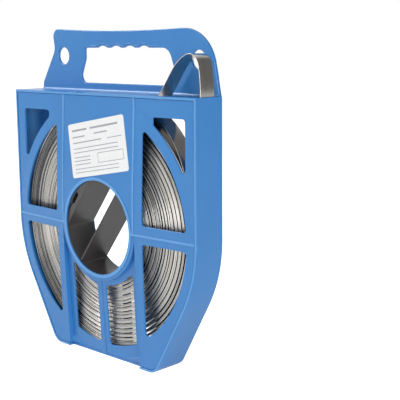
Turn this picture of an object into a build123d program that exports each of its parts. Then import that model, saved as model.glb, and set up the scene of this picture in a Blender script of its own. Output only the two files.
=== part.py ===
"""A coil of stainless steel banding in its moulded carry case.

Millimetres, +Z up. The origin is on the floor under the middle of the case: the case stands
on its flat bottom, its front faces -Y and its handle stands up from the back.
"""

import os
from math import cos, radians, sin, sqrt, tan

from build123d import *

os.makedirs("parts", exist_ok=True)

# The steel band and its coil
band_width = 20.0
band_thickness = 0.7
coil_outer = 142.5
coil_clearance = 0.3
coil_groove_depth = 1.0
coil_groove_count = 3

# The moulded case, which fits round the coil
case_depth = 40.0
wall = 2.7
back_panel = 2.5
cover_panel = 2.5
side_room = 4.8
shoulder_room = 4.3
foot_room = 6.8
coil_front = 11.0
flank_angle = 29.5
foot_radius = 18.0
shoulder_radius = 2.0
rim_step = 0.8
seam_gap = 0.3
dish_rise = 5.3

# The hub of the case
hub_bore = 53.2
rear_hub_bore = 56.5
hub_lip = 2.2
hub_ring_width = 3.9
hub_ledge = 4.8
socket_wall = 2.4

# Ribs and the sunk middle of the cover
rib_width = 2.6
rib_offset = 59.4
recess_depth = 5.2
recess_wall = 2.5
foot_rib_width = 2.0
foot_rib_height = 0.8

# Windows of the cover
corner_window_side_margin = 15.6
corner_window_top_margin = 21.9
corner_window_heel = 8.2
corner_window_round = 3.5
corner_bar_width = 12.2
side_window_edge = 7.0
side_window_gap = 12.3
side_window_sill = 11.0
side_window_head = -9.0
side_window_round = 4.0
foot_bar_left = 8.4
foot_bar_right = 5.8
foot_window_outer = 51.5
foot_window_top_arc = 67.0
foot_window_edge = 5.5
foot_window_round = 4.0

# The handle: distances in from the sides of the case and up from its shoulders
handle_thickness = 4.0
handle_foot_left = 7.2
handle_foot_right = 0.2
handle_heel = (8.5, 8.0)
handle_waist = (32.5, 46.5)
handle_top_left = (28.5, 71.5)
handle_top_right = (14.0, 71.5)
handle_sag = 3.8
handle_corner_left = 9.0
handle_corner_right = 45.0
handle_root_round = 3.0
handle_heel_round = 8.0
handle_waist_round = 14.0
grip_floor = 9.2
grip_ceiling = 48.9
grip_bend = 36.5
grip_left = 88.0
grip_left_low = 77.0
grip_right = 73.3
grip_right_low = 59.0
grip_small_round = 3.0
grip_round = 8.0
grip_large_round = 14.0
finger_count = 4
finger_pitch = 22.8
finger_rise = 2.3
finger_chord = 18.0
finger_middle = 3.2
hang_hole_radius = 10.0
hang_hole_left = (49.0, 39.5)
hang_hole_right = (29.7, 37.0)

# The loose outer turn of the band and its looped end
loose_turn_bulge = 9.0
loose_turn_middle = 55.0
loose_turn_reach = 27.0
loop_side_room = 0.8
loop_start_drop = 2.0
loop_lean_radius = 160.0
loop_lean = 12.5
loop_crown_radius = 13.0
loop_crown = 104.0
loop_fall_radius = 50.0
loop_fall = 29.0
loop_tuck = 40.0
outlet_length = 70.0
outlet_margin = 1.0

# The core that the band is wound on
core_wall = 2.5
core_end_gap = 0.3
core_angle = 53.0
core_web = 2.0
core_flat_distance = 41.0
core_corner_round = 1.5
anchor_slot_length = 16.0
anchor_slot_width = 5.0
anchor_slit_length = 14.0
anchor_slit_width = 1.6

# The label on the cover
label_width = 94.5
label_height = 61.0
label_tilt = 10.4
label_middle = (2.0, 90.5)
label_thickness = 0.25
label_glue = 0.1
label_round = 3.0

# Sizes worked out from these
half_width = coil_outer + side_room + wall
shoulder_rise = coil_outer + shoulder_room + wall
hub_height = coil_outer + foot_room + wall
core_outer = hub_bore + hub_ledge
coil_bore = core_outer + coil_clearance
socket_inner = core_outer + seam_gap
socket_outer = socket_inner + socket_wall
coil_back = coil_front + band_width
recess_half_width = rib_offset + rib_width / 2
dish_flat = hub_bore + hub_ring_width


def dish_depth(radius):
    """How far the cover stands in front of its rim at this radius, as a depth less than nothing."""
    return -dish_rise * min(1, (half_width - radius) / (half_width - dish_flat))


case_middle = (case_depth - dish_rise) / 2
hub_side = Plane(origin=(0, 0, hub_height), x_dir=(0, 1, 0), z_dir=(1, 0, 0))
hub_axis = Axis((0, 0, hub_height), (0, 1, 0))


def depth_plane(depth):
    """A drawing plane at this depth behind the front face, centred on the hub and facing front."""
    return Plane(origin=(0, depth - case_middle, hub_height), x_dir=(1, 0, 0), z_dir=(0, -1, 0))


def on_circle(radius, angle):
    """The point on a circle about the hub, at an angle in degrees from +X."""
    return (radius * cos(radians(angle)), radius * sin(radians(angle)))


# The outline of the case: square shoulders, sides that follow the coil, flanks and a flat bottom
flank_start = on_circle(half_width, -flank_angle)
foot_half = flank_start[0] - (hub_height + flank_start[1]) * tan(radians(flank_angle))

with BuildSketch() as case_face:
    with BuildLine():
        Polyline(
            (-flank_start[0], flank_start[1]), (-foot_half, -hub_height),
            (foot_half, -hub_height), flank_start,
        )
        ThreePointArc(flank_start, on_circle(half_width, -flank_angle / 2), (half_width, 0))
        Polyline(
            (half_width, 0), (half_width, shoulder_rise),
            (-half_width, shoulder_rise), (-half_width, 0),
        )
        ThreePointArc(
            (-half_width, 0), on_circle(half_width, 180 + flank_angle / 2),
            (-flank_start[0], flank_start[1]),
        )
    make_face()
    corners = case_face.vertices().group_by(Axis.Y)
    fillet(corners[0], radius=foot_radius)
    fillet(corners[-1], radius=shoulder_radius)

with BuildSketch() as cavity_face:
    offset(case_face.sketch, amount=-wall)

with BuildSketch() as cover_face:
    offset(case_face.sketch, amount=-(wall + seam_gap))

# The ribs of the cover, with the ring round its hub
with BuildSketch() as rib_face:
    with Locations((-rib_offset, hub_height / 2), (rib_offset, hub_height / 2)):
        Rectangle(rib_width, hub_height)
    with Locations((0, 0)):
        Rectangle(2 * half_width, rib_width)
    add(cover_face.sketch, mode=Mode.INTERSECT)
    Circle(dish_flat)

# The sunk middle of the cover, under the hub, and the block that carries its floor and walls
with BuildSketch() as recess_face:
    with Locations((0, -hub_height / 2)):
        Rectangle(2 * recess_half_width, hub_height)
    Circle(socket_outer, mode=Mode.SUBTRACT)

with BuildSketch() as foot_rib_face:
    with Locations(((foot_bar_right - foot_bar_left) / 2, -hub_height / 2)):
        Rectangle(foot_rib_width, hub_height)
    add(cover_face.sketch, mode=Mode.INTERSECT)
    Circle(socket_inner, mode=Mode.SUBTRACT)

with BuildSketch() as recess_block_face:
    with Locations((0, recess_wall)):
        Rectangle(
            2 * (recess_half_width + recess_wall), 2 * hub_height,
            align=(Align.CENTER, Align.MAX),
        )
    add(cover_face.sketch, mode=Mode.INTERSECT)

# Windows of the cover, the right-hand ones
side_window_arc = coil_outer - side_window_edge
side_window_inner = rib_offset + side_window_gap
corner_window_arc = side_window_arc + corner_bar_width
corner_window_outer = half_width - corner_window_side_margin
corner_window_top = shoulder_rise - corner_window_top_margin
corner_window_inner = sqrt(corner_window_arc**2 - (corner_window_top - corner_window_heel) ** 2)
with BuildSketch() as corner_window:
    with Locations(((corner_window_inner + corner_window_outer) / 2, corner_window_top / 2)):
        Rectangle(corner_window_outer - corner_window_inner, corner_window_top)
    Circle(corner_window_arc, mode=Mode.SUBTRACT)
    fillet(corner_window.vertices(), radius=corner_window_round)

with BuildSketch() as side_window:
    Circle(side_window_arc)
    with Locations((side_window_inner, side_window_sill)):
        Rectangle(half_width, half_width, align=(Align.MIN, Align.MIN), mode=Mode.INTERSECT)
    fillet(side_window.vertices(), radius=side_window_round)

with BuildSketch() as flank_window:
    Circle(side_window_arc)
    with Locations((side_window_inner, side_window_head)):
        Rectangle(half_width, half_width, align=(Align.MIN, Align.MAX), mode=Mode.INTERSECT)
    fillet(flank_window.vertices(), radius=side_window_round)



def foot_window(bar_edge):
    """A window under the hub, on the right, that starts this far from the middle."""
    with BuildSketch() as window:
        Circle(coil_outer - foot_window_edge)
        Circle(foot_window_top_arc, mode=Mode.SUBTRACT)
        with Locations(((bar_edge + foot_window_outer) / 2, -hub_height / 2)):
            Rectangle(foot_window_outer - bar_edge, hub_height, mode=Mode.INTERSECT)
        fillet(window.vertices(), radius=foot_window_round)
    return window.sketch


right_foot_window = foot_window(foot_bar_right)
left_foot_window = foot_window(foot_bar_left)
with BuildSketch() as foot_windows:
    add(right_foot_window)
    mirror(left_foot_window, about=Plane.YZ)

# The window of the back, which takes in the corner and the side above the middle
with BuildSketch() as rear_window:
    with Locations((side_window_inner, side_window_sill)):
        Rectangle(
            corner_window_outer - side_window_inner, corner_window_top - side_window_sill,
            align=(Align.MIN, Align.MIN),
        )
    fillet(rear_window.vertices(), radius=side_window_round)


def at_left(place):
    """A point of the handle, this far in from the left side and up from the shoulders."""
    return (place[0] - half_width, shoulder_rise + place[1])


def at_right(place):
    """A point of the handle, this far in from the right side and up from the shoulders."""
    return (half_width - place[0], shoulder_rise + place[1])


# The face of the handle plate and its hand opening
with BuildSketch() as handle_face:
    with BuildLine():
        Polyline(
            at_left((handle_foot_left, -wall)), at_left(handle_heel),
            at_left(handle_waist), at_left(handle_top_left),
        )
        ThreePointArc(
            at_left(handle_top_left),
            (0, shoulder_rise + handle_top_left[1] - handle_sag),
            at_right(handle_top_right),
        )
        Polyline(
            at_right(handle_top_right), at_right((handle_foot_right, -wall)),
            at_left((handle_foot_left, -wall)),
        )
    make_face()
    for corner, corner_round in (
        (at_left(handle_heel), handle_heel_round),
        (at_left(handle_waist), handle_waist_round),
        (at_left(handle_top_left), handle_corner_left),
        (at_right(handle_top_right), handle_corner_right),
    ):
        fillet(handle_face.vertices().sort_by_distance((*corner, 0))[0], radius=corner_round)

with BuildSketch() as grip_face:
    with BuildLine():
        Polyline(
            at_left((grip_left, grip_ceiling)), at_left((grip_left, grip_bend)),
            at_left((grip_left_low, grip_floor)), at_right((grip_right_low, grip_floor)),
            at_right((grip_right, grip_ceiling)), close=True,
        )
    make_face()
    fillet(grip_face.vertices().group_by(Axis.Y)[0], radius=grip_round)
    for corner, corner_round in (
        (at_left((grip_left, grip_ceiling)), grip_small_round),
        (at_right((grip_right, grip_ceiling)), grip_large_round),
    ):
        fillet(grip_face.vertices().sort_by_distance((*corner, 0))[0], radius=corner_round)
    finger_radius = ((finger_chord / 2) ** 2 + finger_rise**2) / (2 * finger_rise)
    with Locations((finger_middle, shoulder_rise + grip_ceiling + finger_rise - finger_radius)):
        with GridLocations(finger_pitch, 1, finger_count, 1):
            Circle(finger_radius)

# The tray: back panel, wall all round, socket for the core, and the handle
with BuildPart() as rear_shell:
    with BuildSketch(depth_plane(case_depth)):
        add(case_face.sketch)
    extrude(amount=case_depth)
    with BuildSketch(depth_plane(case_depth - back_panel)):
        add(cavity_face.sketch)
    extrude(amount=case_depth, mode=Mode.SUBTRACT)
    with BuildSketch(depth_plane(case_depth)):
        Circle(socket_outer)
    extrude(amount=case_depth - coil_back - coil_clearance)
    with BuildSketch(depth_plane(case_depth)):
        add(handle_face.sketch)
    extrude(amount=handle_thickness)
    handle_front = case_depth - case_middle - handle_thickness
    handle_root = (
        rear_shell.edges().filter_by(Axis.X)
        .filter_by_position(Axis.Z, hub_height + shoulder_rise - 0.1, hub_height + shoulder_rise + 0.1)
        .filter_by_position(Axis.Y, handle_front - 0.1, handle_front + 0.1)
    )
    fillet(handle_root, radius=handle_root_round)
    with BuildSketch(depth_plane(case_depth)):
        add(grip_face.sketch)
        with Locations(at_left(hang_hole_left), at_right(hang_hole_right)):
            Circle(hang_hole_radius)
    extrude(amount=handle_thickness, mode=Mode.SUBTRACT)
    with BuildSketch(depth_plane(case_depth)):
        Circle(rear_hub_bore)
        add(rear_window.sketch)
        add(flank_window.sketch)
        mirror(about=Plane.YZ)
        add(foot_windows.sketch)
    extrude(amount=case_depth, mode=Mode.SUBTRACT)
    with BuildSketch(depth_plane(case_depth - hub_lip)):
        Circle(socket_inner)
    extrude(amount=case_depth, mode=Mode.SUBTRACT)
    with BuildSketch(depth_plane(recess_depth + rim_step)):
        with Locations((0, -hub_height)):
            Rectangle(2 * recess_half_width, 4 * wall)
    extrude(amount=case_depth, mode=Mode.SUBTRACT)
    with BuildSketch(Plane.XY.offset(hub_height + shoulder_rise - 2 * wall)):
        with Locations((half_width - wall, coil_front - outlet_margin - case_middle)):
            Rectangle(
                outlet_length, band_width + 2 * outlet_margin, align=(Align.MAX, Align.MIN)
            )
    extrude(amount=3 * wall, mode=Mode.SUBTRACT)


def dished_layer(outline, front, back):
    """A piece of the cover with this outline, between two depths at the rim, dished as the cover is."""
    with BuildPart() as layer:
        with BuildSketch(hub_side):
            with BuildLine():
                over = front - case_middle
                under = back - case_middle
                Polyline(
                    (over - dish_rise, 0), (over - dish_rise, dish_flat),
                    (over, half_width), (over, 2 * half_width),
                    (under, 2 * half_width), (under, half_width),
                    (under - dish_rise, dish_flat), (under - dish_rise, 0), close=True,
                )
            make_face()
        revolve(axis=hub_axis)
        with BuildSketch(depth_plane(case_depth)):
            add(outline)
        extrude(amount=2 * case_depth, mode=Mode.INTERSECT)
    return layer.part


# The cover: a dished panel inside the rim, sunk in the middle below the hub, with ribs and windows
floor_depth = rim_step + recess_depth
cover_field = dished_layer(cover_face.sketch, rim_step, rim_step + cover_panel)
cover_ribs = dished_layer(rib_face.sketch, 0, rim_step + cover_panel)
recess_block = dished_layer(recess_block_face.sketch, rim_step, floor_depth + cover_panel)
recess_hollow = dished_layer(recess_face.sketch, -case_depth / 2, floor_depth)
foot_rib = dished_layer(foot_rib_face.sketch, floor_depth - foot_rib_height, floor_depth + cover_panel)
socket_start = dish_depth(socket_outer) + rim_step + cover_panel / 2
core_front = hub_lip + core_end_gap - dish_rise
with BuildPart() as front_cover:
    add(cover_field)
    add(cover_ribs)
    add(recess_block)
    add(recess_hollow, mode=Mode.SUBTRACT)
    add(foot_rib)
    with BuildSketch(depth_plane(coil_front - coil_clearance)):
        Circle(socket_outer)
    extrude(amount=coil_front - coil_clearance - socket_start)
    with BuildSketch(depth_plane(case_depth)):
        Circle(hub_bore)
        add(corner_window.sketch)
        add(side_window.sketch)
        add(flank_window.sketch)
        mirror(about=Plane.YZ)
        add(foot_windows.sketch)
    extrude(amount=2 * case_depth, mode=Mode.SUBTRACT)
    with BuildSketch(depth_plane(case_depth)):
        Circle(socket_inner)
    extrude(amount=case_depth - core_front + core_end_gap, mode=Mode.SUBTRACT)

# The banding: the coil as wound, the loose outer turn, and the end that loops out of the case
coil_middle = coil_front + band_width / 2 - case_middle
groove_pitch = (coil_outer - coil_bore) / coil_groove_count
turn_line = coil_outer - band_thickness / 2
with BuildPart() as steel_band:
    with BuildSketch(hub_side):
        with Locations((coil_middle, (coil_bore + coil_outer) / 2)):
            Rectangle(band_width, coil_outer - coil_bore)
            with GridLocations(band_width, groove_pitch, 2, coil_groove_count):
                Polygon(
                    (-coil_groove_depth, 0), (0, -groove_pitch / 2),
                    (coil_groove_depth, 0), (0, groove_pitch / 2), mode=Mode.SUBTRACT,
                )
    revolve(axis=hub_axis)
    with BuildSketch(depth_plane(coil_back)):
        with BuildLine(mode=Mode.PRIVATE) as loose_turn:
            ThreePointArc(
                on_circle(turn_line, loose_turn_middle - loose_turn_reach),
                on_circle(turn_line + loose_turn_bulge, loose_turn_middle),
                on_circle(turn_line, loose_turn_middle + loose_turn_reach),
            )
        trace(loose_turn.line, line_width=band_thickness)
        with BuildLine(mode=Mode.PRIVATE) as band_end:
            rise = Line(
                (turn_line, 0),
                (half_width - wall - loop_side_room, shoulder_rise - loop_start_drop),
            )
            lean = JernArc(rise @ 1, rise % 1, loop_lean_radius, loop_lean)
            crown = JernArc(lean @ 1, lean % 1, loop_crown_radius, loop_crown)
            fall = JernArc(crown @ 1, crown % 1, loop_fall_radius, loop_fall)
            Line(fall @ 1, fall @ 1 + (fall % 1) * loop_tuck)
        trace(band_end.line, line_width=band_thickness)
    extrude(amount=band_width)

# The core: a tube with a web across it, one flat side and a plate with the slot for the band
core_inner = core_outer - core_wall
core_length = case_depth - hub_lip - core_end_gap - core_front
flat_side = core_angle + 90
plate_middle = (core_flat_distance + core_web + core_inner) / 2
slit_middle = -(anchor_slot_length + anchor_slit_length) / 2
with BuildSketch() as core_bars:
    Rectangle(2 * core_outer, core_web, rotation=core_angle)
    with Locations(on_circle(core_flat_distance + core_web / 2, flat_side)):
        Rectangle(2 * core_outer, core_web, rotation=core_angle)
    Circle(core_outer - core_wall / 2, mode=Mode.INTERSECT)

with BuildSketch() as core_face:
    Circle(core_outer)
    Circle(core_inner, mode=Mode.SUBTRACT)
    add(core_bars.sketch)
    bend_along = -sqrt(core_inner**2 - core_flat_distance**2)
    bend = Vector(*on_circle(core_flat_distance, flat_side)) + Vector(*on_circle(bend_along, core_angle))
    fillet(core_face.vertices().sort_by_distance(bend)[0], radius=core_corner_round)

with BuildSketch() as anchor_plate:
    Circle(core_inner + core_wall / 2)
    with Locations(Location((0, 0, 0), (0, 0, core_angle))):
        with Locations((0, core_flat_distance + core_web / 2)):
            Rectangle(2 * core_outer, core_outer, align=(Align.CENTER, Align.MIN), mode=Mode.INTERSECT)
        with Locations((0, plate_middle)):
            SlotOverall(anchor_slot_length, anchor_slot_width, mode=Mode.SUBTRACT)
        with Locations((slit_middle, plate_middle)):
            Rectangle(anchor_slit_length + 2, anchor_slit_width, mode=Mode.SUBTRACT)

with BuildPart() as winding_core:
    with BuildSketch(depth_plane(core_front + core_length)):
        add(core_face.sketch)
    extrude(amount=core_length)
    with BuildSketch(depth_plane(core_front + core_web)):
        add(anchor_plate.sketch)
    extrude(amount=core_web)

# The label, which follows the dish of the cover
with BuildSketch() as label_face:
    with Locations(label_middle):
        RectangleRounded(label_width, label_height, label_round, rotation=label_tilt)

label_back = rim_step - label_glue
label_sheet = dished_layer(label_face.sketch, label_back - label_thickness, label_back)
with BuildPart() as label:
    add(label_sheet)

rear_shell.part.label = "rear_shell"
export_step(rear_shell.part, "parts/rear_shell.step")
front_cover.part.label = "front_cover"
export_step(front_cover.part, "parts/front_cover.step")
steel_band.part.label = "steel_band"
export_step(steel_band.part, "parts/steel_band.step")
winding_core.part.label = "winding_core"
export_step(winding_core.part, "parts/winding_core.step")
label.part.label = "label"
export_step(label.part, "parts/label.step")
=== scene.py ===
# %% [markdown]
# A coil of steel banding in its blue carry case
#
# This notebook dresses a measured model of the part. The measured solids are already in place, in
# metres, standing on the floor. Here they get rounded edges, a wound band with every turn in it,
# and finishes. We start by loading the solids, and a small helper gives the box of any of them.

# %% Load the measured part
import math
import random

import bmesh
import bpy
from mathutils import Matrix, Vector, noise


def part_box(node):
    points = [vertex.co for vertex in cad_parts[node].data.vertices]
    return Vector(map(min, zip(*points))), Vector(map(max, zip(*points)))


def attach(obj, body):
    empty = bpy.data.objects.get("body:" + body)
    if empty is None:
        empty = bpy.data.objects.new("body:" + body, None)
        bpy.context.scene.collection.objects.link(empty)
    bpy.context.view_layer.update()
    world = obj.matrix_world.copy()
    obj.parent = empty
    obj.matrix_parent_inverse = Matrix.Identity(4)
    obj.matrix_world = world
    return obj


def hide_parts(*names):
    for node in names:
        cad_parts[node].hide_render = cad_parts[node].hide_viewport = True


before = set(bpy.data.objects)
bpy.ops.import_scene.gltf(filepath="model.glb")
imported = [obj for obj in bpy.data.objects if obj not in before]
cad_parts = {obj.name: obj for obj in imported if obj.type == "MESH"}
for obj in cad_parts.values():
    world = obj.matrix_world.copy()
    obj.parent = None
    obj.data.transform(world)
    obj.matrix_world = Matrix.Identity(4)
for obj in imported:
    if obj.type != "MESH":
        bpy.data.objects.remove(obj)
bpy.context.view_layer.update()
MM = 0.001
print("nodes:", sorted(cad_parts))

# %% [markdown]
# Everything on this object is laid out from the middle of its hub, so one small helper turns
# "so far right, so far behind the front rim, so far up from the hub" into a place in the scene.
# The case is 40 mm deep and stands on the floor, and the hub is 152 mm above it.

# %% Places measured from the hub
HUB_HEIGHT = 152.0
CASE_DEPTH = 40.0
rim_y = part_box("rear_shell")[1][1] - CASE_DEPTH * MM


def place(right, depth, up):
    """A point in metres, from millimetres right of the hub, behind the rim and above the hub."""
    return Vector((right * MM, rim_y + depth * MM, (HUB_HEIGHT + up) * MM))


HUB = place(0, CASE_DEPTH / 2, 0)
print("front rim at y =", round(rim_y, 4), "hub at", [round(value, 4) for value in HUB])

# %% [markdown]
# The camera comes first, since every finish is judged through it. The photograph was taken with a
# long lens from the right of the front, a little above the hub. A camera can be set by eye, but
# here its place and turn were worked out from the corners of the case, so they are plain numbers.

# %% Camera
CAMERA_PLACE = (793.24, -670.63, 205.86)
CAMERA_TURN = (80.340, 0.431, 43.487)
lens = bpy.data.cameras.new("photo_camera")
lens.sensor_width = 36.0
lens.lens = 84.38
lens.clip_start = 0.05
lens.clip_end = 30.0
camera = bpy.data.objects.new("photo_camera", lens)
camera.location = place(*CAMERA_PLACE)
camera.rotation_euler = [math.radians(turn) for turn in CAMERA_TURN]
bpy.context.collection.objects.link(camera)
bpy.context.scene.camera = camera
print("camera is", round((camera.location - HUB).length, 3), "m from the hub")

# %% [markdown]
# A finish is a small network of nodes. Wiring nodes by hand takes many lines, so a few helpers
# keep the recipes short: one adds a node and sets its values, and one joins two sockets. They serve
# for materials and for the world alike, since each has a tree of nodes.

# %% Helpers for nodes


def new_finish(name):
    """An empty material with its output, ready for nodes."""
    finish = bpy.data.materials.new(name)
    finish.use_nodes = True
    finish.node_tree.nodes.clear()
    finish.node_tree.nodes.new("ShaderNodeOutputMaterial")
    return finish


def add_node(finish, kind, **values):
    """Adds a node of this kind. Values go to its settings, or else to the inputs of that name."""
    node = finish.node_tree.nodes.new(kind)
    for key, value in values.items():
        if hasattr(node, key):
            setattr(node, key, value)
        else:
            node.inputs[key.replace("_", " ")].default_value = value
    return node


def join(finish, source, output, target, socket):
    """Joins an output to an input, each given by its name or number."""
    finish.node_tree.links.new(source.outputs[output], target.inputs[socket])


def show(finish, shader):
    """Joins a shader to the material's output."""
    ends = [node for node in finish.node_tree.nodes if node.type == "OUTPUT_MATERIAL"]
    join(finish, shader, 0, ends[0], "Surface")


print("helpers for nodes ready")

# %% [markdown]
# Nothing real is one flat colour. The next helpers make mottled noise in the object's own space,
# turn it into a range of numbers or colours, and let it raise fine bumps.

# %% Helpers for noise

# The share of a noise's range that is spread out: nearly all of its values lie between these two
NOISE_LOW = 0.32
NOISE_HIGH = 0.68


def mottle(finish, scale, detail, stretch=(1.0, 1.0, 1.0)):
    """Noise in the object's own space, this many patches to a metre."""
    where = add_node(finish, "ShaderNodeTexCoord")
    squeeze = add_node(finish, "ShaderNodeMapping")
    squeeze.inputs["Scale"].default_value = stretch
    cloud = add_node(finish, "ShaderNodeTexNoise", Scale=scale, Detail=detail)
    join(finish, where, "Object", squeeze, "Vector")
    join(finish, squeeze, "Vector", cloud, "Vector")
    return cloud


def spread(finish, source, low, high, start=NOISE_LOW, stop=NOISE_HIGH):
    """Turns a noise into numbers from low to high."""
    span = add_node(
        finish, "ShaderNodeMapRange", From_Min=start, From_Max=stop, To_Min=low, To_Max=high
    )
    join(finish, source, 0, span, "Value")
    return span


def tint(finish, source, low, high):
    """Turns a noise into colours from low to high."""
    ramp = add_node(finish, "ShaderNodeValToRGB")
    ends = zip(ramp.color_ramp.elements, (NOISE_LOW, NOISE_HIGH), (low, high))
    for element, position, colour in ends:
        element.position = position
        element.color = (*colour, 1)
    join(finish, source, 0, ramp, "Fac")
    return ramp


def relief(finish, source, strength, height, shader):
    """Gives a shader the fine bumps of a noise, this many metres high."""
    bump = add_node(finish, "ShaderNodeBump", Strength=strength, Distance=height)
    join(finish, source, 0, bump, "Height")
    join(finish, bump, "Normal", shader, "Normal")


print("helpers for noise ready")

# %% [markdown]
# Some finishes have two looks on one piece, such as plain plastic and plastic painted paler as a
# highlight. A mix node blends them by a share. Its sockets for numbers and for colours have the
# same names, so they are picked by their place in the list.

# %% Helpers for mixing
NUMBER_LOW, NUMBER_HIGH = 2, 3
COLOUR_LOW, COLOUR_HIGH, COLOUR_OUT = 6, 7, 2


def colour_output(node):
    """The output that carries a node's colour."""
    return COLOUR_OUT if node.bl_idname == "ShaderNodeMix" else "Color"


def share_output(node):
    """The output that carries a node's number."""
    return "Fac" if node.bl_idname == "ShaderNodeAttribute" else 0


def blend_colours(finish, share, low, high):
    """Mixes two colour nodes by a third one's number."""
    mix = add_node(finish, "ShaderNodeMix", data_type="RGBA")
    join(finish, share, share_output(share), mix, 0)
    join(finish, low, colour_output(low), mix, COLOUR_LOW)
    join(finish, high, colour_output(high), mix, COLOUR_HIGH)
    return mix


def blend_numbers(finish, share, low, high):
    """Mixes two number nodes by a third one's number."""
    mix = add_node(finish, "ShaderNodeMix", data_type="FLOAT")
    join(finish, share, share_output(share), mix, 0)
    join(finish, low, 0, mix, NUMBER_LOW)
    join(finish, high, 0, mix, NUMBER_HIGH)
    return mix


print("helpers for mixing ready")

# %% [markdown]
# The floor is plain, as in a studio with white paper. To the camera the paper glows on top of the
# light that falls on it, so it reads as white right to the horizon and still shows the soft shadow
# at the foot of the case. It glows less in reflections, and it lights nothing.

# %% Floor
FLOOR_REACH = 6.0
CAMERA_GLOW = 0.88
MIRROR_GLOW = 0.45
floor_mesh = bpy.data.meshes.new("studio_floor")
signs = [(-1, -1), (1, -1), (1, 1), (-1, 1)]
corners = [(x * FLOOR_REACH, y * FLOOR_REACH, 0) for x, y in signs]
floor_mesh.from_pydata(corners, [], [(0, 1, 2, 3)])
studio_floor = bpy.data.objects.new("studio_floor", floor_mesh)
bpy.context.collection.objects.link(studio_floor)

paper = new_finish("studio_paper")
lit = add_node(paper, "ShaderNodeBsdfDiffuse", Color=(0.86, 0.86, 0.86, 1))
glow = add_node(paper, "ShaderNodeEmission", Color=(1, 1, 1, 1))
light_path = add_node(paper, "ShaderNodeLightPath")
stronger = add_node(paper, "ShaderNodeMath", operation="MAXIMUM")
for socket, (kind, strength) in enumerate(
    (("Is Camera Ray", CAMERA_GLOW), ("Is Glossy Ray", MIRROR_GLOW))
):
    part = add_node(paper, "ShaderNodeMath", operation="MULTIPLY")
    part.inputs[1].default_value = strength
    join(paper, light_path, kind, part, 0)
    join(paper, part, 0, stronger, socket)
both = add_node(paper, "ShaderNodeAddShader")
join(paper, stronger, 0, glow, "Strength")
join(paper, lit, 0, both, 0)
join(paper, glow, 0, both, 1)
show(paper, both)
floor_mesh.materials.append(paper)
print("floor ready")

# %% [markdown]
# The world is white where it is seen directly, in a reflection or through glass. As a light it is
# much dimmer, so the lamps can model the shapes. Polished steel needs something dark to reflect,
# or it looks like paper, so in reflections the room has one darker corner, behind on the right.

# %% World
DARK_CORNER = (0.69, 0.69, 0.2)
CORNER_EDGE = 0.35
CORNER_HEART = 0.85
CORNER_SHADE = 0.2
room = bpy.data.worlds.new("studio_room")
bpy.context.scene.world = room
room.use_nodes = True
room.node_tree.nodes.clear()
far_wall = add_node(room, "ShaderNodeBackground", Strength=1.0)
soft_fill = add_node(room, "ShaderNodeBackground", Color=(0.97, 0.985, 1, 1), Strength=0.3)
ray = add_node(room, "ShaderNodeLightPath")

direction = add_node(room, "ShaderNodeTexCoord")
towards = add_node(room, "ShaderNodeVectorMath", operation="DOT_PRODUCT")
towards.inputs[1].default_value = DARK_CORNER
falloff = add_node(
    room, "ShaderNodeMapRange", interpolation_type="SMOOTHSTEP",
    From_Min=CORNER_EDGE, From_Max=CORNER_HEART, To_Min=1.0, To_Max=CORNER_SHADE,
)
brightest = add_node(room, "ShaderNodeMath", operation="MAXIMUM")
join(room, direction, "Generated", towards, 0)
join(room, towards, "Value", falloff, "Value")
join(room, falloff, "Result", brightest, 0)
join(room, ray, "Is Camera Ray", brightest, 1)
join(room, brightest, 0, far_wall, "Color")

seen, output = ray, "Is Camera Ray"
for kind in ("Is Glossy Ray", "Is Transmission Ray"):
    either = add_node(room, "ShaderNodeMath", operation="MAXIMUM")
    join(room, seen, output, either, 0)
    join(room, ray, kind, either, 1)
    seen, output = either, 0
choose = add_node(room, "ShaderNodeMixShader")
world_out = add_node(room, "ShaderNodeOutputWorld")
join(room, seen, output, choose, 0)
join(room, soft_fill, 0, choose, 1)
join(room, far_wall, 0, choose, 2)
join(room, choose, 0, world_out, "Surface")
bpy.context.scene.view_settings.view_transform = "Standard"
print("world ready")

# %% [markdown]
# Four soft boxes light the case: a key light from the left of the camera, one from the right, a
# weak fill beside the camera that reaches into the hub, and one high on the left, which draws a
# bright line along the rounded top edges.

# %% Lamps


def soft_box(name, where, size, watts):
    """A square lamp at this place, turned towards the hub."""
    data = bpy.data.lights.new(name, "AREA")
    data.size = size
    data.energy = watts
    lamp = bpy.data.objects.new(name, data)
    lamp.location = where
    aim = HUB - Vector(where)
    lamp.rotation_euler = aim.to_track_quat("-Z", "Y").to_euler()
    bpy.context.collection.objects.link(lamp)
    return lamp


key_light = soft_box("key_light", (-0.6, -2.0, 1.2), 1.0, 8.4)
side_light = soft_box("side_light", (2.2, -0.8, 0.7), 1.0, 26)
fill_light = soft_box("fill_light", (1.35, -1.5, 0.35), 0.8, 7)
top_light = soft_box("top_light", (-1.45, -0.55, 1.7), 0.8, 24)
print("lamps:", key_light.name, side_light.name, fill_light.name, top_light.name)

# %% [markdown]
# The case is blue plastic, shot into a steel mould. Such plastic is one colour all through, but
# it is never quite even: the colour clouds a little where the plastic flowed, and handling leaves
# faint scuffs that change the gloss. The front of the rim and the tops of the ribs stand proud and
# catch the light, so their colour is painted paler, a painted highlight: a number on each face says
# where. The rest comes from noise in object space, so no picture is needed.

# %% Moulded blue plastic


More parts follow.
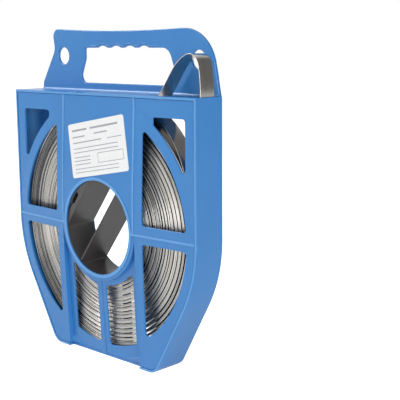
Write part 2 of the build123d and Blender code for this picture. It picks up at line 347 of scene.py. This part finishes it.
def moulded_plastic():
    """Blue plastic, plain or painted paler as a highlight, as the number on each face says."""
    finish = new_finish("case_plastic")
    shader = add_node(finish, "ShaderNodeBsdfPrincipled")
    shader.inputs["IOR"].default_value = 1.49
    cloud = mottle(finish, 9.0, 3.0, (1.0, 1.0, 0.45))
    scuffs = mottle(finish, 25.0, 2.0)
    plain_blue = tint(finish, cloud, (0.034, 0.198, 0.505), (0.044, 0.222, 0.55))
    # The paler colour is a painted highlight, for the rim front and the rib tops.
    painted_highlight = tint(finish, cloud, (0.085, 0.3, 0.64), (0.105, 0.335, 0.69))
    highlight_share = add_node(finish, "ShaderNodeAttribute", attribute_name="painted_highlight")
    colour = blend_colours(finish, highlight_share, plain_blue, painted_highlight)
    gloss = spread(finish, scuffs, 0.25, 0.28, 0.1, 0.9)
    join(finish, colour, COLOUR_OUT, shader, "Base Color")
    join(finish, gloss, "Result", shader, "Roughness")
    show(finish, shader)
    return finish


case_plastic = moulded_plastic()
print("made", case_plastic.name)

# %% [markdown]
# The two mouldings have the right shape already, but their edges are razor sharp, and no real
# moulding has such edges. A bevel rounds them, but it has to be told how far: where the edges next
# to an edge are short there is less room, and a radius that doesn't fit makes spikes. So each
# convex edge that turns by more than 25 degrees gets a weight from the room it has. The edges at
# the seam between tray and cover get a smaller radius, which keeps the seam narrow. All edges that
# stay sharp are marked, so that the shading breaks there. One more line is marked: the crease at
# which the cover starts to rise, 150 mm from the hub.

# %% Weights for the bevel
SHARP_TURN = math.radians(25)
CREASE_TURN = math.radians(1.2)
CASE_HALF = 150.0
ON_CREASE = 0.05
SAME_LINE = 0.85
SHARE_OF_NEIGHBOUR = 0.42
LEAST_RADIUS = 0.25
INWARD = -0.02


def from_hub(vert):
    """How far a corner of the mesh lies from the hub's axis, in millimetres."""
    return math.hypot(vert.co.x, vert.co.z - HUB_HEIGHT * MM) / MM


def line_of(edge):
    """The direction of an edge."""
    return (edge.verts[1].co - edge.verts[0].co).normalized()


def room_beside(edge, radius):
    """This radius, or less where the edges next to an edge are short, in millimetres."""
    line = line_of(edge)
    for vert in edge.verts:
        for other in vert.link_edges:
            lean = abs(line.dot(line_of(other)))
            if other is not edge and lean < SAME_LINE:
                radius = min(radius, SHARE_OF_NEIGHBOUR * other.calc_length() / MM)
    return radius


def soften(sketch, radius, seam_radius):
    """Weights the sharp edges for the bevel: 1 is the full radius, less where room is short."""
    weights = sketch.edges.layers.float.new("bevel_weight_edge")
    front_of_hub = place(0, 0, 0)
    for edge in sketch.edges:
        if len(edge.link_faces) != 2:
            continue
        if all(abs(from_hub(vert) - CASE_HALF) < ON_CREASE for vert in edge.verts):
            edge.smooth = edge.calc_face_angle() < CREASE_TURN
        if edge.calc_face_angle() < SHARP_TURN:
            continue
        edge.smooth = False
        if not edge.is_convex:
            continue
        room = room_beside(edge, radius)
        middle = (edge.verts[0].co + edge.verts[1].co) / 2
        outward = middle - front_of_hub
        faces_hub = any(face.normal.dot(outward) < INWARD for face in edge.link_faces)
        if abs(middle.y - rim_y) < MM and faces_hub:
            room = min(room, seam_radius)
        if room > LEAST_RADIUS:
            edge[weights] = room / radius
            edge.smooth = True


print("bevel weights ready")

# %% [markdown]
# The faces that get the painted highlight come next. The cover is dished: it rises by 5.3 mm from
# 150 mm to 57.1 mm from the hub, and the rim and the ribs rise with it. The panel between them lies
# 0.8 mm deeper, so a face stands proud when none of its corners lies deeper than half of that.

# %% Where the plastic gets a painted highlight
DISH_RISE = 5.3
DISH_FLAT = 57.1
PROUD_DEPTH = 0.4
FACING_FRONT = -0.9


def stands_proud(face):
    """Whether a face of the case is the front of the rim or the top of a rib."""
    for vert in face.verts:
        share = (CASE_HALF - from_hub(vert)) / (CASE_HALF - DISH_FLAT)
        dish = DISH_RISE * min(1.0, max(0.0, share))
        if (vert.co.y - rim_y) / MM + dish > PROUD_DEPTH:
            return False
    return face.normal.y < FACING_FRONT


print("rubbed places ready")

# %% [markdown]
# Now the mouldings themselves. Each solid's mesh is copied and welded, and its flat faces lose
# their triangles, so that only real edges are left. After the bevel a second modifier leans the
# shading towards the larger faces. Without it, the flat walls would shade as if they were bent.

# %% Rounded mouldings
WELD = 2e-6
FLAT_TURN = math.radians(0.3)
ROUND_STEPS = 3


def add_piece(name, mesh, node):
    """A new object that rides on the part and replaces this solid, which is hidden."""
    piece = bpy.data.objects.new(name, mesh)
    bpy.context.collection.objects.link(piece)
    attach(piece, "root")
    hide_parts(node)
    return piece


def rounded_copy(node, name, radius, seam_radius, finish):
    """A copy of a measured solid with its sharp edges rounded, standing in for that node."""
    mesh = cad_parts[node].data.copy()
    mesh.name = name
    sketch = bmesh.new()
    sketch.from_mesh(mesh)
    bmesh.ops.remove_doubles(sketch, verts=sketch.verts, dist=WELD)
    bmesh.ops.dissolve_limit(
        sketch, angle_limit=FLAT_TURN, verts=sketch.verts, edges=sketch.edges
    )
    # Faces that stand proud get the painted highlight.
    painted_highlight = sketch.faces.layers.float.new("painted_highlight")
    for face in sketch.faces:
        face.smooth = True
        face[painted_highlight] = 1.0 if stands_proud(face) else 0.0
    soften(sketch, radius, seam_radius)
    sketch.to_mesh(mesh)
    sketch.free()
    mesh.materials.clear()
    mesh.materials.append(finish)
    piece = add_piece(name, mesh, node)
    rounding = piece.modifiers.new("rounded_edges", "BEVEL")
    rounding.width = radius * MM
    rounding.segments = ROUND_STEPS
    rounding.limit_method = "WEIGHT"
    rounding.harden_normals = True
    rounding.use_clamp_overlap = False
    flatten = piece.modifiers.new("flat_faces_stay_flat", "WEIGHTED_NORMAL")
    flatten.keep_sharp = True
    print(name, len(mesh.polygons), "faces")


TRAY_RADIUS = 1.0
COVER_RADIUS = 0.6
SEAM_RADIUS = 0.4
rounded_copy("rear_shell", "case_tray", TRAY_RADIUS, SEAM_RADIUS, case_plastic)
rounded_copy("front_cover", "case_cover", COVER_RADIUS, SEAM_RADIUS, case_plastic)

# %% [markdown]
# A thin bead runs along the hand opening, just above the finger scallops. The mould maker puts it
# there to stiffen the grip. It follows a wave with one crest over each finger, so a round cord of
# rings swept along that wave does it, half sunk in the face of the handle.

# %% The wave of the bead
BEAD_LEFT = -54.5
BEAD_LENGTH = 115.5
BEAD_LOW = 200.6
BEAD_WAVE = 2.5
BEAD_STEPS = 140
FINGER_PITCH = 22.8
FINGER_MIDDLE = 3.2
wave_reach = 2 * FINGER_PITCH
rings = []
for step in range(BEAD_STEPS + 1):
    right = BEAD_LEFT + BEAD_LENGTH * step / BEAD_STEPS
    off = right - FINGER_MIDDLE
    crest = 0.0
    if abs(off) < wave_reach:
        crest = 0.5 - 0.5 * math.cos(2 * math.pi * off / FINGER_PITCH)
    rings.append((right, BEAD_LOW + BEAD_WAVE * crest))
print("bead runs over", BEAD_LENGTH, "mm")

# %% [markdown]
# Each ring stands square to the wave. The last few rings at either end are smaller, so the bead
# fades into the handle.

# %% The bead over the finger scallops
BEAD_DEPTH = 36.05
BEAD_RADIUS = 0.6
BEAD_SIDES = 10
BEAD_TIP = 0.15
BEAD_SWELL = 0.25
verts, faces = [], []
for index, (right, up) in enumerate(rings):
    before, after = rings[max(index - 1, 0)], rings[min(index + 1, BEAD_STEPS)]
    lean = math.atan2(after[1] - before[1], after[0] - before[0])
    size = BEAD_RADIUS * min(1.0, BEAD_TIP + BEAD_SWELL * min(index, BEAD_STEPS - index))
    for k in range(BEAD_SIDES):
        angle = 2 * math.pi * k / BEAD_SIDES
        out, lift = size * math.cos(angle), size * math.sin(angle)
        across, along = lift * math.sin(lean), lift * math.cos(lean)
        verts.append(place(right - across, BEAD_DEPTH + out, up + along))
for index in range(BEAD_STEPS):
    here, there = index * BEAD_SIDES, (index + 1) * BEAD_SIDES
    for k in range(BEAD_SIDES):
        n = (k + 1) % BEAD_SIDES
        faces.append((here + k, here + n, there + n, there + k))
faces.append(tuple(range(BEAD_SIDES)))
faces.append(tuple(BEAD_STEPS * BEAD_SIDES + k for k in reversed(range(BEAD_SIDES))))
bead_mesh = bpy.data.meshes.new("grip_bead")
bead_mesh.from_pydata(verts, [], faces)
sketch = bmesh.new()
sketch.from_mesh(bead_mesh)
bmesh.ops.recalc_face_normals(sketch, faces=sketch.faces)
for face in sketch.faces:
    face.smooth = True
sketch.to_mesh(bead_mesh)
sketch.free()
bead_mesh.materials.append(case_plastic)
add_piece("grip_bead", bead_mesh, "rear_shell")
print("bead faces:", len(bead_mesh.polygons))

# %% [markdown]
# The band is stainless strip, rolled and then slit. Its wide faces are smooth, fairly dark, and
# carry fine lines along their length. Its slit edges are rougher and much paler. Both are metal,
# so one network serves for both, and a number stored on each face says how much it is an edge. A
# second number paints shade on the wide faces inside the coil, which lie in the dark gaps between
# the turns: painted shade. Stretched noise along the strip's length gives the rolling lines.

# %% Rolled and slit steel


def rolled_steel():
    """Steel with rolling lines: plain, under painted shade or slit, as the numbers on each face
    say.
    """
    finish = new_finish("band_steel")
    shader = add_node(finish, "ShaderNodeBsdfPrincipled")
    shader.inputs["Metallic"].default_value = 1.0
    lie = add_node(finish, "ShaderNodeUVMap")
    stretch = add_node(finish, "ShaderNodeMapping")
    stretch.inputs["Scale"].default_value = (6.0, 1400.0, 1.0)
    lines = add_node(finish, "ShaderNodeTexNoise", Scale=1.0, Detail=3.0, Roughness=0.6)
    join(finish, lie, "UV", stretch, "Vector")
    join(finish, stretch, "Vector", lines, "Vector")
    edge = add_node(finish, "ShaderNodeAttribute", attribute_name="slit_edge")
    gap_shade_amount = add_node(finish, "ShaderNodeAttribute", attribute_name="gap_shade")
    unshaded_colour = tint(finish, lines, (0.46, 0.44, 0.415), (0.6, 0.58, 0.55))
    # The darker colour is painted shade, for the wide faces that lie in the dark gaps inside the
    # coil.
    gap_shade_colour = tint(finish, lines, (0.17, 0.16, 0.15), (0.23, 0.22, 0.205))
    slit_colour = tint(finish, lines, (0.56, 0.54, 0.5), (0.72, 0.7, 0.66))
    wide_gloss = spread(finish, lines, 0.12, 0.22)
    slit_gloss = spread(finish, lines, 0.3, 0.45)
    wide_colour = blend_colours(finish, gap_shade_amount, unshaded_colour, gap_shade_colour)
    colour = blend_colours(finish, edge, wide_colour, slit_colour)
    gloss = blend_numbers(finish, edge, wide_gloss, slit_gloss)
    join(finish, colour, COLOUR_OUT, shader, "Base Color")
    join(finish, gloss, 0, shader, "Roughness")
    relief(finish, lines, 0.08, 0.0002, shader)
    show(finish, shader)
    return finish


band_steel = rolled_steel()
print("made", band_steel.name)

# %% [markdown]
# The coil could be a ring with lines painted on it, but through the windows the eye finds real
# gaps, with light coming through from behind. So the band is wound as it is in life: one strip
# that starts at the core and goes round some 78 times. Turns lie tight in packs of a few, with a
# wider gap after each pack. The gaps are drawn at random and then scaled together until the turns
# fill the coil. This gives the radius at which each turn starts.

# %% Where each turn lies
BAND_WIDTH = 20.0
BAND_THICKNESS = 0.7
COIL_FRONT = 11.0
COIL_INNER = 58.7
COIL_OUTER = 142.1
TURNS = 78
PACK_SIZES = (3, 4, 5, 6, 7)
TIGHT_GAP = (0.02, 0.05)
PACK_GAP = (1.4, 2.6)
winder = random.Random(11)
gaps = []
while len(gaps) < TURNS:
    pack = winder.choice(PACK_SIZES)
    gaps += [winder.uniform(*TIGHT_GAP) for _ in range(pack - 1)]
    gaps.append(winder.uniform(*PACK_GAP))
gaps = gaps[:TURNS]
spare = (COIL_OUTER - COIL_INNER) - TURNS * BAND_THICKNESS
gaps = [gap * spare / sum(gaps) for gap in gaps]
starts = [COIL_INNER]
for gap in gaps:
    starts.append(starts[-1] + BAND_THICKNESS + gap)
print("turns:", TURNS, "widest gap", round(max(gaps), 2), "mm")

# %% [markdown]
# A strip is swept along a path of points. Eight corners make its section, with the slit edges
# slightly rounded. Each face of the sweep keeps the two numbers that the finish reads, and the map
# that runs along the strip for the rolling lines.

# %% The strip's section
EDGE_ROUNDING = 0.14
half = BAND_THICKNESS / 2
thin, deep_end = half - EDGE_ROUNDING, BAND_WIDTH - EDGE_ROUNDING
SECTION = [
    (-thin, 0.0), (thin, 0.0), (half, EDGE_ROUNDING), (half, deep_end),
    (thin, BAND_WIDTH), (-thin, BAND_WIDTH), (-half, deep_end), (-half, EDGE_ROUNDING),
]
WIDE_FACES = (2, 6)
CORNER_TURN = math.radians(30)
around = [0.0]
for corner, following in zip(SECTION, SECTION[1:] + SECTION[:1]):
    around.append(around[-1] + math.dist(corner, following) * MM)
print("round the section:", round(around[-1] / MM, 2), "mm")

# %% [markdown]
# The sweep goes in three steps: corners at every point of the path, faces between them with their
# numbers, and a face to close each end. Then the edges of the section are marked sharp, so the
# wide faces shade smoothly along the strip and break at its edges.

# %% Sweep a strip along a path


def strip_corners(path):
    """The section's corners at each point of a path, set square to it."""
    verts = []
    for i, (right, up, depth, _, _) in enumerate(path):
        before, after = path[max(i - 1, 0)], path[min(i + 1, len(path) - 1)]
        along = Vector((after[0] - before[0], after[1] - before[1])).normalized()
        for across, deep in SECTION:
            verts.append(place(right + along.y * across, depth + deep, up - along.x * across))
    return verts


def strip_faces(path):
    """The faces between those corners, each face's edge tone and painted shade, and the map's
    corners.
    """
    faces, slit, gap_shade, uvs = [], [], [], []
    run = [0.0]
    for here, there in zip(path, path[1:]):
        run.append(run[-1] + math.dist(here[:2], there[:2]) * MM)
    count, last = len(SECTION), len(path) - 1
    for i in range(last):
        here, there = i * count, (i + 1) * count
        for k in range(count):
            n = (k + 1) % count
            faces.append((here + k, here + n, there + n, there + k))
            slit.append(0.0 if k in WIDE_FACES else path[i][3])
            gap_shade.append(path[i][4])
            uvs += [
                (run[i], around[k]), (run[i], around[k + 1]),
                (run[i + 1], around[k + 1]), (run[i + 1], around[k]),
            ]
    for end in (0, last):
        ring = [end * count + k for k in range(count)]
        faces.append(ring if end else ring[::-1])
        slit.append(1.0)
        gap_shade.append(0.0)
        uvs += [(run[end], around[k]) for k in range(count)]
    return faces, slit, gap_shade, uvs


def strip_mesh(name, path, finish):
    """A steel strip along points in millimetres: right, up, front depth, edge tone and painted
    shade.
    """
    faces, slit, gap_shade, uvs = strip_faces(path)
    mesh = bpy.data.meshes.new(name)
    mesh.from_pydata(strip_corners(path), [], faces)
    layer = mesh.uv_layers.new(name="length")
    layer.data.foreach_set("uv", [value for uv in uvs for value in uv])
    for mark, values in (("slit_edge", slit), ("gap_shade", gap_shade)):
        mesh.attributes.new(mark, "FLOAT", "FACE").data.foreach_set("value", values)
    mesh.materials.append(finish)
    sketch = bmesh.new()
    sketch.from_mesh(mesh)
    bmesh.ops.recalc_face_normals(sketch, faces=sketch.faces)
    for face in sketch.faces:
        face.smooth = len(face.verts) == 4
    for edge in sketch.edges:
        if len(edge.link_faces) == 2 and edge.calc_face_angle() > CORNER_TURN:
            edge.smooth = False
    sketch.to_mesh(mesh)
    sketch.free()
    return mesh


print("strip helpers ready")

# %% [markdown]
# The path of the strip runs anticlockwise as seen from the front. Each turn wanders a little in
# and out of line, as loosely wound strip does, so some edges catch the light and others fall into
# shade. At the foot the painted shade between the turns is weaker, which paints the foot of the
# coil lighter: a painted patch of light. On its last time round the band has sprung away from the
# coil at the upper right, and there it gets no painted shade.

# %% The wound turns
STEPS = 110
SWAY_DEPTH = 0.3
SLIP_DEPTH = 0.5
EDGE_TONE = 0.8
EDGE_TONE_SPREAD = 1.2
EDGE_TONE_LEAST = 0.3
BULGE = 9.0
BULGE_MIDDLE = 55.0
BULGE_REACH = 27.0
BULGE_SHAPE = 1.3
FOOT_LIGHT_MIDDLE = math.radians(285.0)
FOOT_LIGHT_SHARE = 0.75
FOOT_LIGHT_SHAPE = 6


def wander(angle, reach, height):
    """A slow wander between -1 and 1 that has no jump from one turn to the next."""
    return noise.noise(Vector((math.cos(angle) * reach, math.sin(angle) * reach, height)))


band_path = []
for step in range(TURNS * STEPS + 1):
    turn, part = divmod(step, STEPS)
    if turn == TURNS:
        turn, part = TURNS - 1, STEPS
    share = part / STEPS
    wound = step / STEPS
    radius = starts[turn] + (starts[turn + 1] - starts[turn]) * share
    angle = 2 * math.pi * step / STEPS
    on_top = turn == TURNS - 1
    off = (360 * share - BULGE_MIDDLE) / BULGE_REACH
    if on_top and abs(off) < 1:
        radius += BULGE * math.cos(math.pi * off / 2) ** BULGE_SHAPE
    sway = wander(angle, 0.6, wound * 0.37)
    slip = wander(angle, 0.4, wound * 1.7 + 9)
    depth = COIL_FRONT + SWAY_DEPTH * sway + SLIP_DEPTH * slip
    tone = min(1.0, max(EDGE_TONE_LEAST, EDGE_TONE + EDGE_TONE_SPREAD * slip))
    # Less painted shade at the foot: a painted patch of light there. The last turn gets none.
    foot_light = max(0.0, math.cos(angle - FOOT_LIGHT_MIDDLE)) ** FOOT_LIGHT_SHAPE
    gap_shade_amount = 0.0 if on_top else 1.0 - FOOT_LIGHT_SHARE * foot_light
    band_path.append((radius * math.cos(angle), radius * math.sin(angle), depth, tone, gap_shade_amount))
print("path points so far:", len(band_path))

# %% [markdown]
# After its last turn the band goes up inside the right wall, leaves through the opening in the
# top, leans over, turns tightly and comes down again beside the opening. Such a free end is a
# chain of straight runs and arcs, so a small pen that keeps its place and its heading draws it.
# Each arc is given by how far it turns, its radius and the number of pieces it is drawn in.

# %% The looped end
WALL_SIDE = 146.5
OUTLET_UP = 147.5
RISE_STEPS = 30
LOOP_ARCS = ((12.5, 160, 14), (104, 13, 30), (29, 50, 12))
TUCK = 40
TUCK_STEPS = 8


def ahead(heading):
    """One millimetre in the direction of a heading in degrees."""
    return Vector((math.cos(math.radians(heading)), math.sin(math.radians(heading))))


def draw_to(spot):
    """Adds a point of the free end to the band's path, at full edge tone and with no painted shade.
    """
    band_path.append((spot.x, spot.y, COIL_FRONT, 1.0, 0.0))


run_start = Vector(band_path[-1][:2])
run_end = Vector((WALL_SIDE, OUTLET_UP))
for step in range(1, RISE_STEPS + 1):
    draw_to(run_start.lerp(run_end, step / RISE_STEPS))
pen = run_end
heading = math.degrees(math.atan2(run_end.y - run_start.y, run_end.x - run_start.x))
for bend, arc_radius, pieces in LOOP_ARCS:
    for _ in range(pieces):
        chord = 2 * arc_radius * math.sin(math.radians(bend / pieces / 2))
        heading += bend / pieces / 2
        pen = pen + ahead(heading) * chord
        heading += bend / pieces / 2
        draw_to(pen)
for step in range(1, TUCK_STEPS + 1):
    draw_to(pen + ahead(heading) * TUCK * step / TUCK_STEPS)
band_mesh = strip_mesh("wound_band", band_path, band_steel)
add_piece("wound_band", band_mesh, "steel_band")
print("band faces:", len(band_mesh.polygons), "end at", [round(v, 1) for v in band_path[-1]])

# %% [markdown]
# The core is a second plastic, almost black and a little shiny, moulded as a tube with a web
# across it. Much of what we see on it is the white room in its gloss, so its own colour is dark.
# It is a moulding like the case, so the same helper rounds its edges.

# %% Dark core
CORE_RADIUS = 0.6


def dark_plastic():
    """Almost black plastic with streaks in its gloss and a fine grain."""
    finish = new_finish("core_plastic")
    shader = add_node(finish, "ShaderNodeBsdfPrincipled")
    cloud = mottle(finish, 30.0, 4.0)
    streaks = mottle(finish, 120.0, 3.0, (1.0, 0.3, 1.0))
    grain = mottle(finish, 1400.0, 2.0)
    colour = tint(finish, cloud, (0.048, 0.044, 0.045), (0.062, 0.057, 0.058))
    gloss = spread(finish, streaks, 0.28, 0.34)
    join(finish, colour, "Color", shader, "Base Color")
    join(finish, gloss, "Result", shader, "Roughness")
    relief(finish, grain, 0.12, 0.0003, shader)
    show(finish, shader)
    return finish


core_plastic = dark_plastic()
rounded_copy("winding_core", "band_core", CORE_RADIUS, CORE_RADIUS, core_plastic)

# %% [markdown]
# The label is white coated paper. It stays without words: some grey rules and an empty box stand
# where a user would write what the coil holds. The rules are thin bars, printed and not raised,
# so they belong in the finish. We measure a point's place on the label along its two sides, and
# a bar is where both numbers fall inside its limits.

# %% Bars on the label
LABEL_MIDDLE = (2.0, 90.5)
LABEL_TILT = math.radians(10.4)


def along_label(finish, angle):
    """How far a point lies from the label's middle in this direction, in millimetres."""
    where = add_node(finish, "ShaderNodeTexCoord")
    middle = place(LABEL_MIDDLE[0], 0, LABEL_MIDDLE[1])
    shift = add_node(finish, "ShaderNodeVectorMath", operation="SUBTRACT")
    shift.inputs[1].default_value = middle
    reach = add_node(finish, "ShaderNodeVectorMath", operation="DOT_PRODUCT")
    reach.inputs[1].default_value = (math.cos(angle) / MM, 0, math.sin(angle) / MM)
    join(finish, where, "Object", shift, 0)
    join(finish, shift, "Vector", reach, 0)
    return reach


def printed_bar(finish, across, upward, middle, size):
    """One where a point lies inside this bar of the label, and nothing elsewhere."""
    inside = add_node(finish, "ShaderNodeMath", operation="MULTIPLY")
    for socket, (line, centre, length) in enumerate(zip((across, upward), middle, size)):
        near = add_node(finish, "ShaderNodeMath", operation="COMPARE")
        near.inputs[1].default_value = centre
        near.inputs[2].default_value = length / 2
        join(finish, line, "Value", near, 0)
        join(finish, near, 0, inside, socket)
    return inside


# Each bar's middle, right and up from the label's, and its length and height
RULES = [
    ((-28, 22.5), (26, 2.0)), ((14, 22.5), (46, 2.0)),
    ((-30, 15.0), (22, 1.4)), ((8, 16.0), (22, 1.4)),
    ((-16, 8.5), (50, 1.2)), ((30, 8.5), (24, 0.8)),
    ((-3, 2.0), (76, 0.9)), ((-3, -2.5), (76, 0.9)),
    ((-27, -8.0), (28, 0.9)), ((-27, -12.0), (28, 0.9)), ((-27, -16.0), (28, 0.9)),
    ((-4, -21.0), (74, 0.8)), ((-4, -25.0), (74, 0.8)),
]
BOX_SIDES = [
    ((21, -6.2), (42, 0.7)), ((21, -16.8), (42, 0.7)),
    ((0.3, -11.5), (0.7, 11.2)), ((41.7, -11.5), (0.7, 11.2)),
]
BARS = RULES + BOX_SIDES
print("bars on the label:", len(BARS))

# %% [markdown]
# The paper itself is white with a little fibre in it, and the bars are the same paper in grey. One
# bar after another is added to the printed part, by keeping the larger number.

# %% Label


def label_paper():
    """White paper with grey bars printed on it."""
    finish = new_finish("label_paper")
    shader = add_node(finish, "ShaderNodeBsdfPrincipled")
    shader.inputs["Roughness"].default_value = 0.4
    fibre = mottle(finish, 700.0, 4.0)
    white = tint(finish, fibre, (0.78, 0.79, 0.79), (0.87, 0.875, 0.87))
    grey = tint(finish, fibre, (0.27, 0.275, 0.29), (0.36, 0.365, 0.38))
    across = along_label(finish, LABEL_TILT)
    upward = along_label(finish, LABEL_TILT + math.pi / 2)
    ink = printed_bar(finish, across, upward, *BARS[0])
    for bar in BARS[1:]:
        either = add_node(finish, "ShaderNodeMath", operation="MAXIMUM")
        join(finish, ink, 0, either, 0)
        join(finish, printed_bar(finish, across, upward, *bar), 0, either, 1)
        ink = either
    colour = blend_colours(finish, ink, white, grey)
    join(finish, colour, COLOUR_OUT, shader, "Base Color")
    relief(finish, fibre, 0.05, 0.0002, shader)
    show(finish, shader)
    return finish


paper_white = label_paper()
label_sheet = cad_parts["label"].data
label_sheet.materials.clear()
label_sheet.materials.append(paper_white)
print("label dressed with", len(BARS), "bars")
